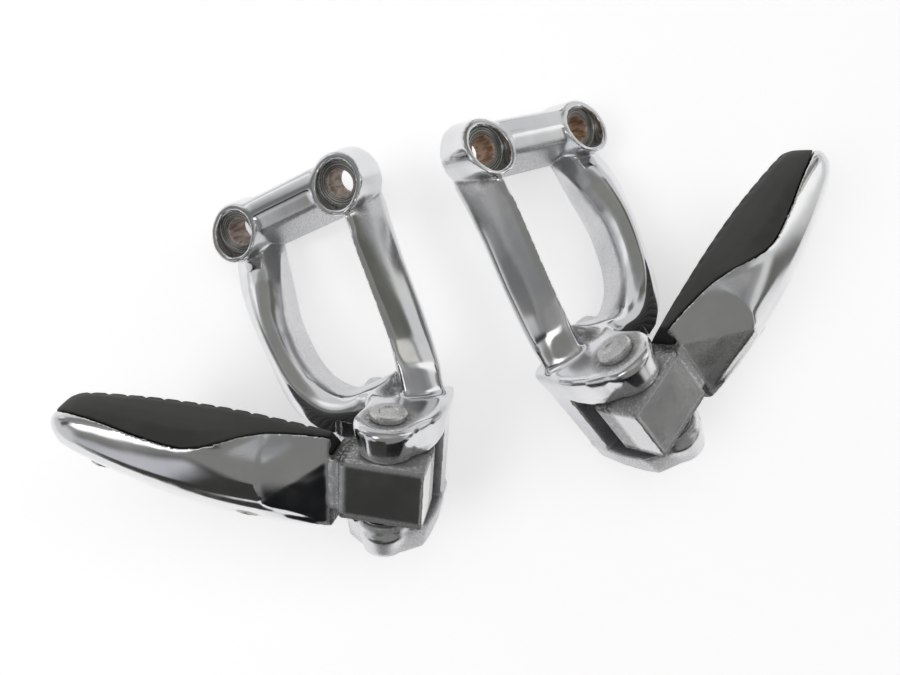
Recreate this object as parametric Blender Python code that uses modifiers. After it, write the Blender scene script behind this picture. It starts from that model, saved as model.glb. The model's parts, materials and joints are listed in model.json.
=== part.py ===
"""Pair of folding passenger footpegs for a motorcycle, lying on a table.

Each side is a cast bracket with two bolt bosses, a window and a clevis, and a cast peg
with a rubber tread that folds about the clevis pin. The right side mirrors the left.

Three frames are used, all in metres. In the bracket frame X runs from the straight leg to
the curved leg, Y points away from the motorcycle along the bolts, and Z points up to the
bosses. In the loop frame (x, w, h) w runs down the leaning window frame and h stands
square to it. In the hinge frame Z is the pin's axis and X is the way the left peg points.
"""
import math

import bmesh
import bpy
from mathutils import Euler, Matrix, Vector

# Clearances
GAP = 0.0003
SEAT_GAP = 0.0003

# Bolt bosses and the bar between them
BOLT_SPACING = 0.0497
BOLT_HOLE_RADIUS = 0.0047
COUNTERBORE_RADIUS = 0.0087
BOSS_RADIUS = 0.0112
BOSS_DRAFT = 0.0010
RIM_HEIGHT = 0.0045
RIM_SLANT = math.radians(21.0)
BOLT_LAND = 0.0120
HOLE_CHAMFER = 0.0009
BAR_TOP = 0.0095

# Window frame: lean out from the mounting face, and how deep the legs are
LOOP_LEAN = math.radians(28.7)

# Straight leg: down the loop, the ridge beside the window, the outer edge, the back and
# the flank, which spreads at the foot into the window's rounded corner
STRAIGHT_LEG = (
    # w, ridge x, ridge h, outer x, back h, flank
    (0.002, -0.0235, -0.0010, -0.0350, -0.0170, 0.0022),
    (0.013, -0.0242, 0.0030, -0.0362, -0.0163, 0.0022),
    (0.030, -0.0270, 0.0034, -0.0384, -0.0152, 0.0022),
    (0.050, -0.0305, 0.0034, -0.0418, -0.0142, 0.0026),
    (0.064, -0.0330, 0.0032, -0.0438, -0.0135, 0.0052),
    (0.074, -0.0340, 0.0022, -0.0448, -0.0130, 0.0110),
    (0.083, -0.0328, -0.0006, -0.0438, -0.0140, 0.0140),
    (0.089, -0.0310, -0.0030, -0.0410, -0.0130, 0.0140),
)
STRAIGHT_BULGE = 0.0012
STRAIGHT_ROUNDS = (0.0012, 0.0100, 0.0035, 0.0020)

# Curved leg: the window side, the outer ridge, its height, and how far the outer flank
# spreads behind the ridge, round to the clevis
CURVED_LEG = (
    # inner x, inner w, outer x, outer w, ridge h, flank
    (0.0150, 0.0020, 0.0338, 0.0020, -0.0075, 0.0010),
    (0.0140, 0.0120, 0.0326, 0.0120, -0.0045, 0.0018),
    (0.0133, 0.0240, 0.0300, 0.0245, -0.0015, 0.0026),
    (0.0128, 0.0370, 0.0262, 0.0365, 0.0002, 0.0030),
    (0.0108, 0.0460, 0.0228, 0.0475, 0.0008, 0.0030),
    (0.0075, 0.0560, 0.0193, 0.0575, 0.0008, 0.0030),
    (0.0025, 0.0645, 0.0163, 0.0680, 0.0004, 0.0032),
    (-0.0045, 0.0705, 0.0118, 0.0772, 0.0000, 0.0038),
    (-0.0120, 0.0735, 0.0025, 0.0860, 0.0004, 0.0050),
    (-0.0200, 0.0735, -0.0105, 0.0895, 0.0010, 0.0064),
    (-0.0290, 0.0720, -0.0240, 0.0890, 0.0000, 0.0070),
)
CURVED_BACK = -0.0152
CURVED_CROWN = 0.0024
CURVED_SHOULDER = (0.30, 0.0012)
CURVED_INNER = (0.04, 0.0075)
CURVED_ROUNDS = (0.0030, 0.0060, 0.0100, 0.0010, 0.0020)

# Clevis, placed in the bracket frame
HINGE_ORIGIN = (-0.0216, 0.0545, -0.0939)
HINGE_TURN = (math.radians(-1.9), math.radians(-28.1), math.radians(7.5))
EAR_TOP = 0.0233
EAR_UNDERSIDE = 0.0114
EAR_RIM = 0.0023
EAR_RADIUS = 0.0112
EAR_TAPER = 0.0023
EAR_INNER_SIDE = 0.0105
EAR_OUTER_SIDE = 0.0166
POCKET_FLOOR = -0.0163
LOWER_EAR_BOTTOM = -0.0260
LOWER_EAR_RADIUS = 0.0094
LOWER_EAR_SIDE = 0.0163
LOWER_EAR_ROUND = 0.0012
LOWER_EAR_TAPER = 0.0022
WALL_FACE = 0.0195
WALL_BACK = 0.0330
WALL_HALF_WIDTH = 0.0160
WALL_INSET = 0.0006
LOWER_BOSS_RADIUS = 0.0090
SLOT_TRIM = 0.0010

# Pivot pin and what sits on it
PIN_RADIUS = 0.0040
PIN_BORE_CLEARANCE = 0.0003
PIN_HEAD_RADIUS = 0.0060
PIN_HEAD_HEIGHT = 0.0020
PIN_HEAD_CHAMFER = 0.0006
WASHER_THICKNESS = 0.0010
WASHER_RADIUS = 0.0055
CLIP_THICKNESS = 0.0008
CLIP_RADIUS = 0.0053
CLIP_GROOVE_DEPTH = 0.0010
CLIP_OPENING = math.radians(70.0)
PIN_TAIL = 0.0010
RECESS_CLEARANCE = 0.0004
WAVE_RADIUS = 0.0084
WAVE_THICKNESS = 0.0005
WAVE_HEIGHT = 0.0003

# Hinge block of the peg
BLOCK_END = 0.0142
BLOCK_NECK = 0.0135
BLOCK_HALF_WIDTH = 0.0089
BLOCK_BEVEL = 0.0006
NECK_INSET = 0.0016
NECK_BITE = 0.0002
ROOT_FACE = 0.0168
ROOT_HALF_WIDTH = 0.0063
ROOT_CHAMFER = 0.95
FACET_TOP = (0.0171, 0.0065, 0.0090)
FACET_END = (0.0345, 0.0225, 0.0)
SWEEP_START = 0.0170
SWEEP_BULGE = 0.0056

# Click stop in the block: a ball on a spring
DETENT_OFFSET = 0.0067
BALL_RADIUS = 0.0015
BALL_PROUD = 0.0001
DETENT_DEPTH = 0.0095
SPRING_WIRE = 0.00025
SPRING_TURNS = 4
DIMPLE_DEPTH = 0.0005

# Peg body, along x: the section's centre, tread, widest line, underside and rubber seam
TREAD_TURN = math.radians(45.0)
PEG_SECTIONS = (
    # x, centre, tread half, tread t, widest half, underside half, underside t, seam t
    (0.0140, -0.0011, 0.0150, 0.0098, 0.0192, 0.0096, -0.0152, 0.0080),
    (0.0260, 0.0008, 0.0160, 0.0107, 0.0250, 0.0105, -0.0162, 0.0060),
    (0.0360, 0.0024, 0.0162, 0.0111, 0.0268, 0.0110, -0.0165, 0.0030),
    (0.0460, 0.0039, 0.0160, 0.0115, 0.0261, 0.0118, -0.0164, -0.0022),
    (0.0560, 0.0055, 0.0150, 0.0117, 0.0245, 0.0126, -0.0158, -0.0049),
    (0.0660, 0.0071, 0.0136, 0.0117, 0.0231, 0.0132, -0.0147, -0.0044),
    (0.0760, 0.0086, 0.0126, 0.0114, 0.0220, 0.0138, -0.0131, -0.0028),
    (0.0860, 0.0102, 0.0121, 0.0106, 0.0213, 0.0146, -0.0110, -0.0011),
    (0.0940, 0.0115, 0.0116, 0.0098, 0.0205, 0.0152, -0.0090, -0.0001),
    (0.0990, 0.0122, 0.0104, 0.0093, 0.0183, 0.0140, -0.0074, 0.0005),
    (0.1020, 0.0127, 0.0084, 0.0090, 0.0148, 0.0110, -0.0056, 0.0007),
    (0.1035, 0.0129, 0.0062, 0.0087, 0.0110, 0.0080, -0.0042, 0.0008),
)
TIP_START = 0.0920
WIDEST_T = -0.0020
SIDE_ROUNDING = 1.5
UNDERSIDE_CROWN = 0.0012

# Rubber pad and its fixing
PAD_LIP = 0.0035
PAD_SEAT = 0.0035
PAD_STEP_GAP = 0.0006
RIB_PITCH = 0.0059
RIB_GROOVE_WIDTH = 0.0016
RIB_GROOVE_DEPTH = 0.0011
PLATE_THICKNESS = 0.0020
PLATE_HALF_WIDTH = 0.0070
PLATE_MARGIN = 0.0050
SCREW_PLACES = (0.0418, 0.0905)
SCREW_RADIUS = 0.0020
SCREW_HEAD_RADIUS = 0.0040
SCREW_HEAD_HEIGHT = 0.0018
SCREW_SPOT_DEPTH = 0.0019
CROSS_WIDTH = 0.0010
CROSS_LENGTH = 0.0046
CROSS_DEPTH = 0.0010

# How the pair lies on the table
LEFT_TURN = (math.radians(65.06), math.radians(26.05), math.radians(-165.75))
LEFT_PLACE = (-0.06206, 0.09327)
RIGHT_TURN = math.radians(40.69)
RIGHT_SHIFT = (0.04636, 0.01091)
LEFT_FOLD = 0.0
RIGHT_FOLD = math.radians(-5.48)

ROUND_STEPS = 28
ARC_STEPS = 4

LOOP_TO_BRACKET = Matrix.Rotation(LOOP_LEAN, 4, "X")
HINGE_TO_BRACKET = Matrix.Translation(HINGE_ORIGIN) @ Euler(HINGE_TURN).to_matrix().to_4x4()
TREAD_TO_HINGE = Matrix.Rotation(TREAD_TURN, 4, "X")
Y_AXIS_TURN = Matrix.Rotation(math.radians(-90.0), 4, "X")

COLLECTION_NAME = "passenger_footpegs"


def clear_scene():
    for old in list(bpy.data.objects):
        bpy.data.objects.remove(old, do_unlink=True)


def new_collection(name):
    made = bpy.data.collections.new(name)
    bpy.context.scene.collection.children.link(made)
    return made


# Building blocks

def work_object(bm, matrix=None):
    """Turn a bmesh into a wire object that the modelling steps join or cut with."""
    if matrix is not None:
        bm.transform(matrix)
    bmesh.ops.recalc_face_normals(bm, faces=bm.faces)
    mesh = bpy.data.meshes.new("shape")
    bm.to_mesh(mesh)
    bm.free()
    made = bpy.data.objects.new("shape", mesh)
    made.hide_render = True
    made.display_type = "WIRE"
    WORK.objects.link(made)
    return made


def evaluated_mesh(made):
    """The mesh of an object with its modifiers done."""
    bpy.context.view_layer.update()
    return bpy.data.meshes.new_from_object(made.evaluated_get(bpy.context.evaluated_depsgraph_get()))


def boolean(base, operation, tools):
    """Join or cut the base with each tool in turn."""
    for tool in tools:
        step = base.modifiers.new(operation.lower(), "BOOLEAN")
        step.operation = operation
        step.solver = "EXACT"
        step.object = tool
    return base


def box(low, high, matrix=None):
    bm = bmesh.new()
    bmesh.ops.create_cube(bm, size=1.0)
    size = [b - a for a, b in zip(low, high)]
    middle = [(a + b) / 2 for a, b in zip(low, high)]
    bmesh.ops.scale(bm, vec=size, verts=bm.verts)
    bmesh.ops.translate(bm, vec=middle, verts=bm.verts)
    return work_object(bm, matrix)


def cylinder(radius, bottom, top, matrix=None, top_radius=None, steps=ROUND_STEPS):
    bm = bmesh.new()
    bmesh.ops.create_cone(
        bm,
        cap_ends=True,
        segments=steps,
        radius1=radius,
        radius2=radius if top_radius is None else top_radius,
        depth=top - bottom,
    )
    bmesh.ops.translate(bm, vec=(0, 0, (bottom + top) / 2), verts=bm.verts)
    return work_object(bm, matrix)


def turned(profile, matrix=None, steps=ROUND_STEPS, closed=False):
    """Turn a profile of (radius, height) points, top to bottom, about Z."""
    mesh = bpy.data.meshes.new("profile")
    count = len(profile)
    edges = [(i, i + 1) for i in range(count - 1)]
    if closed:
        edges.append((count - 1, 0))
    mesh.from_pydata([(radius, 0, height) for radius, height in profile], edges, [])
    made = bpy.data.objects.new("profile", mesh)
    WORK.objects.link(made)
    screw = made.modifiers.new("turn", "SCREW")
    screw.axis = "Z"
    screw.steps = steps
    screw.render_steps = steps
    screw.use_merge_vertices = True
    screw.merge_threshold = 0.00001
    bm = bmesh.new()
    bm.from_mesh(evaluated_mesh(made))
    bpy.data.objects.remove(made, do_unlink=True)
    bmesh.ops.remove_doubles(bm, verts=bm.verts, dist=0.00001)
    return work_object(bm, matrix)


def loft(rings, matrix=None):
    """Skin rings of equally many points and close both ends."""
    bm = bmesh.new()
    rows = [[bm.verts.new(point) for point in ring] for ring in rings]
    count = len(rows[0])
    for near, far in zip(rows, rows[1:]):
        for i in range(count):
            j = (i + 1) % count
            bm.faces.new((near[i], near[j], far[j], far[i]))
    bm.faces.new(list(reversed(rows[0])))
    bm.faces.new(rows[-1])
    return work_object(bm, matrix)


def rounded(corners, radii, steps=ARC_STEPS):
    """A closed outline whose corners are arcs of the given radii."""
    points = []
    count = len(corners)
    for i in range(count):
        here = Vector(corners[i])
        back = Vector(corners[i - 1]) - here
        ahead = Vector(corners[(i + 1) % count]) - here
        half = back.angle(ahead) / 2
        reach = min(radii[i] / math.tan(half), 0.45 * back.length, 0.45 * ahead.length)
        start = here + back.normalized() * reach
        end = here + ahead.normalized() * reach
        for k in range(steps + 1):
            t = k / steps
            points.append(start * (1 - t) ** 2 + here * 2 * t * (1 - t) + end * t ** 2)
    return points


def prism(outline, low, high, matrix=None):
    """Extrude a flat outline along Z."""
    rings = [[(p[0], p[1], height) for p in outline] for height in (low, high)]
    return loft(rings, matrix)


def along(rows, column, place):
    """Smooth value of one column of a table at a place along its first column."""
    last = len(rows) - 1
    index = 0
    while index < last - 1 and rows[index + 1][0] <= place:
        index += 1
    x0, x1 = rows[index][0], rows[index + 1][0]
    v0, v1 = rows[index][column], rows[index + 1][column]
    before = rows[max(index - 1, 0)]
    after = rows[min(index + 2, last)]
    slope0 = (v1 - before[column]) / (x1 - before[0])
    slope1 = (after[column] - v0) / (after[0] - x0)
    span = x1 - x0
    t = min(max((place - x0) / span, 0.0), 1.0)
    return (
        v0 * (2 * t ** 3 - 3 * t ** 2 + 1)
        + v1 * (3 * t ** 2 - 2 * t ** 3)
        + slope0 * span * (t ** 3 - 2 * t ** 2 + t)
        + slope1 * span * (t ** 3 - t ** 2)
    )


def finer(rows, parts):
    """The rows of a table with smooth rows added between them."""
    numbered = [(k, *row) for k, row in enumerate(rows)]
    places = [k / parts for k in range((len(rows) - 1) * parts + 1)]
    columns = range(1, len(rows[0]) + 1)
    return [[along(numbered, column, place) for column in columns] for place in places]


# Bracket

def boss(x):
    """One bolt boss with drafted sides, standing on the mounting face."""
    reach = RIM_HEIGHT + BOSS_RADIUS
    blank = cylinder(
        BOSS_RADIUS + BOSS_DRAFT,
        -BOLT_LAND,
        reach,
        Matrix.Translation((x, 0, 0)) @ Y_AXIS_TURN,
        top_radius=BOSS_RADIUS - BOSS_DRAFT,
    )
    return boolean(blank, "DIFFERENCE", [above_rim()])


def above_rim():
    """Everything in front of the slanted plane of the two boss rims."""
    size = BOLT_SPACING
    slant = Matrix.Translation((0, RIM_HEIGHT, 0)) @ Matrix.Rotation(RIM_SLANT, 4, "X")
    return box((-size, 0, -size), (size, size, size), slant)


def cross_bar():
    """The bar between the bosses, with a slanted underside."""
    profile = [
        (-BOLT_LAND, BAR_TOP - 0.0015),
        (-BOLT_LAND + 0.0035, BAR_TOP),
        (0.0002, BAR_TOP),
        (0.0034, 0.0030),
        (0.0030, -0.0042),
        (-BOLT_LAND, -0.0127),
    ]
    radii = (0.001, 0.002, 0.003, 0.004, 0.002, 0.0015)
    outline = rounded(profile, radii, 3)
    half = BOLT_SPACING / 2
    rings = [[(x, p[0], p[1]) for p in outline] for x in (-half, half)]
    return loft(rings)


def straight_leg():
    rings = []
    for w, ridge_x, ridge_h, outer_x, back_h, flank in STRAIGHT_LEG:
        ridge = Vector((ridge_x, ridge_h))
        outer = Vector((outer_x, back_h))
        face = outer - ridge
        bulge = (ridge + outer) / 2 + Vector((face.y, -face.x)).normalized() * STRAIGHT_BULGE
        inner = Vector((ridge_x + flank, back_h))
        section = rounded([ridge, bulge, outer, inner], STRAIGHT_ROUNDS)
        rings.append([(p[0], p[1], -w) for p in section])
    return loft(rings, LOOP_TO_BRACKET)


def curved_leg():
    """Crowned face that falls from the crisp outer ridge to a round window side."""
    rings = []
    for inner_x, inner_w, outer_x, outer_w, ridge_h, flank in finer(CURVED_LEG, 2):
        inner = Vector((inner_x, -inner_w))
        across = Vector((outer_x, -outer_w)) - inner
        width = across.length
        crown_h = ridge_h + CURVED_CROWN
        section = rounded(
            [
                (CURVED_INNER[0] * width, crown_h - CURVED_INNER[1]),
                (CURVED_SHOULDER[0] * width, crown_h - CURVED_SHOULDER[1]),
                (0.66 * width, crown_h),
                (width, ridge_h),
                (width + flank, CURVED_BACK),
                (0.0, CURVED_BACK),
            ],
            (*CURVED_ROUNDS, 0.0020),
        )
        flat = across.normalized()
        rings.append([(inner.x + flat.x * p[0], p[1], inner.y + flat.y * p[0]) for p in section])
    return loft(rings, LOOP_TO_BRACKET)


def ear_outline(radius, inner_side, outer_side):
    """Outline of an ear round the pin, with straight sides running back to the wall."""
    front = [(radius * math.cos(a), radius * math.sin(a)) for a in
             [math.radians(d) for d in range(8, 168, 12)]]
    left = [
        (-outer_side + 0.0025, -0.0025),
        (-outer_side + 0.0008, -0.0083),
        (-outer_side, -0.0140),
        (-outer_side, -WALL_BACK + 0.004),
    ]
    right = [(inner_side, -WALL_BACK + 0.004), (inner_side, -0.0140), (inner_side, -0.0040)]
    return front + left + right


def upper_ear():
    rings = []
    for height, inset in (
        (EAR_UNDERSIDE - SLOT_TRIM, EAR_TAPER),
        (EAR_TOP - EAR_RIM, 0.0),
        (EAR_TOP - EAR_RIM * 0.3, 0.0006),
        (EAR_TOP, 0.0020),
    ):
        outline = ear_outline(EAR_RADIUS - inset, EAR_INNER_SIDE - inset, EAR_OUTER_SIDE - inset * 0.5)
        rings.append([(x, y, height) for x, y in outline])
    return loft(rings, HINGE_TO_BRACKET)


def lower_ear():
    """Round boss under the block that tapers to a rounded end and flares to the wall."""
    rings = []
    deep = LOWER_EAR_BOTTOM + LOWER_EAR_ROUND
    for height, inset in (
        (POCKET_FLOOR + SLOT_TRIM, 0.0),
        (POCKET_FLOOR - LOWER_EAR_ROUND, 0.0),
        (deep, LOWER_EAR_TAPER),
        (LOWER_EAR_BOTTOM + LOWER_EAR_ROUND * 0.3, LOWER_EAR_TAPER + LOWER_EAR_ROUND * 0.3),
        (LOWER_EAR_BOTTOM, LOWER_EAR_TAPER + LOWER_EAR_ROUND),
    ):
        outline = lower_outline(LOWER_EAR_RADIUS - inset, LOWER_EAR_SIDE - inset * 0.6)
        rings.append([(x, y, height) for x, y in outline])
    return loft(rings, HINGE_TO_BRACKET)


def lower_outline(radius, side):
    """The lower ear flares on both sides to the width of the wall."""
    front = [(radius * math.cos(a), radius * math.sin(a)) for a in
             [math.radians(d) for d in range(20, 164, 12)]]
    flare = [(side - 0.0018, -0.0025), (side - 0.0006, -0.0083), (side, -0.0140), (side, -WALL_BACK + 0.004)]
    left = [(-x, y) for x, y in flare]
    return front + left + list(reversed(flare))


def rear_wall():
    half = WALL_HALF_WIDTH - WALL_INSET
    corners = [
        (half, -WALL_FACE + 0.004),
        (-half, -WALL_FACE + 0.004),
        (-half, -WALL_BACK),
        (half, -WALL_BACK),
    ]
    outline = rounded(corners, (0.0005, 0.0005, 0.004, 0.004))
    return prism(outline, LOWER_EAR_BOTTOM + 0.001, EAR_TOP - 0.002, HINGE_TO_BRACKET)


def bracket_mesh():
    half = BOLT_SPACING / 2
    casting = boss(-half)
    boolean(casting, "UNION", [boss(half), cross_bar(), straight_leg()])
    boolean(casting, "UNION", [rear_wall(), upper_ear(), lower_ear(), curved_leg()])
    boolean(casting, "DIFFERENCE", [hinge_slot()])
    boolean(casting, "UNION", [lower_boss()])
    behind = 0.2
    back = box((-behind, -behind, -behind), (behind, -BOLT_LAND, behind))
    cutters = [back, pin_bore(POCKET_FLOOR - 0.02, EAR_TOP + 0.01), clip_recess()]
    cutters += [bolt_cutter(x) for x in (-half, half)]
    cutters += detent_dimples()
    boolean(casting, "DIFFERENCE", cutters)
    return evaluated_mesh(casting)


def hinge_slot():
    """The space that the hinge block turns in, between the ears and before the wall."""
    reach = 0.022
    return box((-reach, -WALL_FACE, POCKET_FLOOR), (reach, reach, EAR_UNDERSIDE), HINGE_TO_BRACKET)


def lower_boss():
    top = -BLOCK_HALF_HEIGHT - SEAT_GAP * 2 - WAVE_THICKNESS - WAVE_HEIGHT
    return cylinder(LOWER_BOSS_RADIUS, POCKET_FLOOR - 0.002, top, HINGE_TO_BRACKET)


def pin_bore(low, high):
    return cylinder(PIN_RADIUS + PIN_BORE_CLEARANCE, low, high, HINGE_TO_BRACKET)


def clip_recess():
    """Pocket in the lower ear's end that hides the washer and the clip."""
    radius = WASHER_RADIUS + RECESS_CLEARANCE
    return cylinder(radius, LOWER_EAR_BOTTOM - 0.002, RECESS_TOP, HINGE_TO_BRACKET, steps=20)


def bolt_cutter(x):
    """Bolt hole with a chamfered mouth, and the counterbore open to the rim."""
    deep = BOLT_LAND + 0.001
    mouth = BOLT_HOLE_RADIUS + HOLE_CHAMFER
    profile = [
        (0, COUNTERBORE_RADIUS * 3),
        (COUNTERBORE_RADIUS, COUNTERBORE_RADIUS * 3),
        (COUNTERBORE_RADIUS, 0),
        (mouth, 0),
        (BOLT_HOLE_RADIUS, -HOLE_CHAMFER),
        (BOLT_HOLE_RADIUS, -deep),
        (0, -deep),
    ]
    return turned(profile, Matrix.Translation((x, 0, 0)) @ Y_AXIS_TURN)


def detent_dimples():
    """Shallow ball dimples under the upper ear, at the folded and the open click."""
    dimples = []
    for turn in (math.radians(180.0) + FOLDED_LIMIT, math.radians(180.0) + OPEN_LIMIT):
        bm = bmesh.new()
        bmesh.ops.create_uvsphere(bm, u_segments=12, v_segments=8, radius=BALL_RADIUS)
        place = Vector((
            DETENT_OFFSET * math.cos(turn),
            DETENT_OFFSET * math.sin(turn),
            EAR_UNDERSIDE + DIMPLE_DEPTH - BALL_RADIUS,
        ))
        dimples.append(work_object(bm, HINGE_TO_BRACKET @ Matrix.Translation(place)))
    return dimples


# Peg

def side_half(x, t):
    """Half width of the peg at height t of its section at x."""
    tread, tread_t = along(PEG_SECTIONS, 2, x), along(PEG_SECTIONS, 3, x)
    widest = along(PEG_SECTIONS, 4, x)
    under, under_t = along(PEG_SECTIONS, 5, x), along(PEG_SECTIONS, 6, x)
    if t > WIDEST_T:
        share = min((t - WIDEST_T) / (tread_t - WIDEST_T), 1.0)
        return tread + (widest - tread) * (1 - share ** SIDE_ROUNDING)
    share = min((WIDEST_T - t) / (WIDEST_T - under_t), 1.0)
    return under + (widest - under) * (1 - share ** SIDE_ROUNDING)


def sweep_limit(x, t):
    """How far the near side reaches where it sweeps in to the root, above the facet."""
    top, end = (TREAD_TO_HINGE.inverted() @ Vector(p) for p in (FACET_TOP, FACET_END))
    share = (x - top.x) / (end.x - top.x)
    crease = top.lerp(end, share)
    seam = along(PEG_SECTIONS, 7, x) - GAP
    seam_s = along(PEG_SECTIONS, 1, x) + side_half(x, seam)
    place = (t - crease.z) / (seam - crease.z)
    bulge = SWEEP_BULGE * max((x - SWEEP_START) / (end.x - SWEEP_START), 0.0) ** 2
    return crease.y + (seam_s - crease.y) * place + bulge * 4 * place * (1 - place)


def half_to_ring(x, half, swept=False):
    """Mirror a half section about the peg's centre line and place it at x."""
    centre = along(PEG_SECTIONS, 1, x)
    right = [(x, centre + s, t) for s, t in half]
    seam = along(PEG_SECTIONS, 7, x) - GAP
    if swept and x < FACET_END[0]:
        right = [(x, min(s, sweep_limit(x, t)) if t < seam else s, t) for x, s, t in right]
    left = [(x, centre - s, t) for s, t in reversed(half)]
    return right + left


def body_ring(x):
    under = along(PEG_SECTIONS, 5, x)
    under_t = along(PEG_SECTIONS, 6, x)
    seam = along(PEG_SECTIONS, 7, x) - GAP
    half = [
        (under * 0.35, under_t - UNDERSIDE_CROWN),
        (under * 0.80, under_t - UNDERSIDE_CROWN * 0.5),
        (under, under_t + 0.0006),
    ]
    steps = 5
    for k in range(1, steps + 1):
        t = under_t + (seam - under_t) * k / steps
        half.append((side_half(x, t), t))
    wall = side_half(x, seam) - PAD_LIP
    shift = math.copysign(PAD_STEP_GAP, seam - PAD_SEAT)
    half.append((wall + shift, seam))
    half.append((wall - 0.001 + shift, PAD_SEAT - GAP))
    half.append((wall * 0.3, PAD_SEAT - GAP))
    return half_to_ring(x, half, swept=True)


def pad_ring(x, groove):
    seam = along(PEG_SECTIONS, 7, x)
    tread_t = along(PEG_SECTIONS, 3, x)
    tread = along(PEG_SECTIONS, 2, x)
    wall = side_half(x, seam) - PAD_LIP
    half = [(wall * 0.3, PAD_SEAT), (wall - 0.001, PAD_SEAT), (wall, seam)]
    steps = 3
    edge = tread_t - min(0.0022, 0.6 * (tread_t - seam))
    for k in range(steps + 1):
        t = seam + (edge - seam) * k / steps
        half.append((side_half(x, t), t))
    half.append((tread + 0.0004, (tread_t + edge) / 2 - groove * 0.3))
    half.append((tread - 0.0012, tread_t - groove))
    half.append((tread * 0.4, tread_t + 0.0003 - groove))
    return half_to_ring(x, half)


def peg_stations():
    """Places of the sections that the body and the pad share, one for each rib."""
    tip = [row[0] for row in PEG_SECTIONS if row[0] > TIP_START]
    count = math.ceil((tip[0] - ROOT_FACE) / RIB_PITCH)
    places = [ROOT_FACE + RIB_PITCH * k for k in range(count)]
    return [x for x in places if x < tip[0] - RIB_GROOVE_WIDTH] + tip


def root_cutters(inset):
    """Chamfer of the far side of the root, and the facet below the near side's sweep."""
    angle = math.atan(ROOT_CHAMFER)
    corner = Vector((ROOT_FACE, inset - ROOT_HALF_WIDTH, 0))
    turn = Matrix.Translation(corner) @ Matrix.Rotation(-angle, 4, "Z")
    far = 0.06
    chamfer = box((-far, -far, -far), (far, 0, far), turn)
    crease = (Vector(FACET_END) - Vector(FACET_TOP)).normalized()
    outward = Vector((-math.sin(angle), math.cos(angle), 0))
    outward = (outward - crease * outward.dot(crease)).normalized()
    down = crease.cross(outward)
    axes = Matrix((crease, outward, down)).transposed().to_4x4()
    facet = box((-far, 0, 0), (far, far, far), Matrix.Translation(FACET_TOP) @ axes)
    return [chamfer, facet]


def peg_mesh():
    crossing = ROOT_FACE + RIB_PITCH * 2.5
    body = loft([body_ring(x) for x in sorted([*peg_stations(), crossing])], TREAD_TO_HINGE)
    boolean(body, "DIFFERENCE", root_cutters(0.0))
    neck_y = BLOCK_HALF_WIDTH - NECK_INSET
    neck_z = BLOCK_HALF_HEIGHT - NECK_INSET
    neck = box((BLOCK_NECK - 0.001, -neck_y, -neck_z), (ROOT_FACE + NECK_BITE, neck_y, neck_z))
    boolean(body, "UNION", [neck, hinge_block()])
    cutters = [cylinder(PIN_RADIUS + PIN_BORE_CLEARANCE, -0.03, 0.03), detent_bore()]
    for x in SCREW_PLACES:
        cutters += screw_cutters(x)
    boolean(body, "DIFFERENCE", cutters)
    return evaluated_mesh(body)


def hinge_block():
    bm = bmesh.new()
    bmesh.ops.create_cube(bm, size=1.0)
    size = (BLOCK_END + BLOCK_NECK, BLOCK_HALF_WIDTH * 2, BLOCK_HALF_HEIGHT * 2)
    bmesh.ops.scale(bm, vec=size, verts=bm.verts)
    bmesh.ops.translate(bm, vec=((BLOCK_NECK - BLOCK_END) / 2, 0, 0), verts=bm.verts)
    bmesh.ops.bevel(bm, geom=bm.edges, offset=BLOCK_BEVEL, segments=2, affect="EDGES", profile=0.5)
    return work_object(bm)


def detent_bore():
    top = BLOCK_HALF_HEIGHT + 0.001
    place = Matrix.Translation((-DETENT_OFFSET, 0, 0))
    return cylinder(BALL_RADIUS + GAP, BLOCK_HALF_HEIGHT - DETENT_DEPTH, top, place, steps=16)


def screw_frame(x):
    """Frame of a pad screw: Z from its head up through the body, at the underside."""
    centre = along(PEG_SECTIONS, 1, x)
    under_t = along(PEG_SECTIONS, 6, x) - UNDERSIDE_CROWN + SCREW_SPOT_DEPTH
    return TREAD_TO_HINGE @ Matrix.Translation((x, centre, under_t)), PAD_SEAT - under_t


def screw_cutters(x):
    frame, length = screw_frame(x)
    spot = cylinder(SCREW_HEAD_RADIUS + GAP, -0.006, 0, frame, steps=24)
    hole = cylinder(SCREW_RADIUS + GAP, -0.001, length + 0.004, frame, steps=16)
    return [spot, hole]


def pad_mesh():
    places = peg_stations()
    stations = [(places[0] + NECK_BITE + GAP, 0.0)] + [(x, 0.0) for x in places[1:]]
    half = RIB_GROOVE_WIDTH / 2
    middle = ROOT_FACE + RIB_PITCH * 1.5
    while middle < places[-1] - RIB_PITCH:
        stations += [(middle - half, 0.0), (middle, RIB_GROOVE_DEPTH), (middle + half, 0.0)]
        middle += RIB_PITCH
    pad = loft([pad_ring(x, groove) for x, groove in sorted(stations)], TREAD_TO_HINGE)
    boolean(pad, "DIFFERENCE", root_cutters(GAP) + [plate_blank(GAP)])
    return evaluated_mesh(pad)


def plate_blank(spread):
    """The steel plate under the pad, or the pocket that it sits in."""
    ends = (SCREW_PLACES[0] - PLATE_MARGIN - spread, SCREW_PLACES[1] + PLATE_MARGIN + spread)
    half = PLATE_HALF_WIDTH + spread
    bottom = PAD_SEAT if spread == 0 else PAD_SEAT - 0.001
    rings = []
    for x in ends:
        centre = along(PEG_SECTIONS, 1, x)
        top = PAD_SEAT + PLATE_THICKNESS + spread
        rings.append([
            (x, centre - half, bottom),
            (x, centre + half, bottom),
            (x, centre + half, top),
            (x, centre - half, top),
        ])
    return loft(rings, TREAD_TO_HINGE)


def plate_mesh():
    plate = plate_blank(0.0)
    holes = []
    for x in SCREW_PLACES:
        frame, length = screw_frame(x)
        holes.append(cylinder(SCREW_RADIUS + GAP, length - 0.004, length + 0.006, frame, steps=16))
    boolean(plate, "DIFFERENCE", holes)
    return evaluated_mesh(plate)


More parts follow.
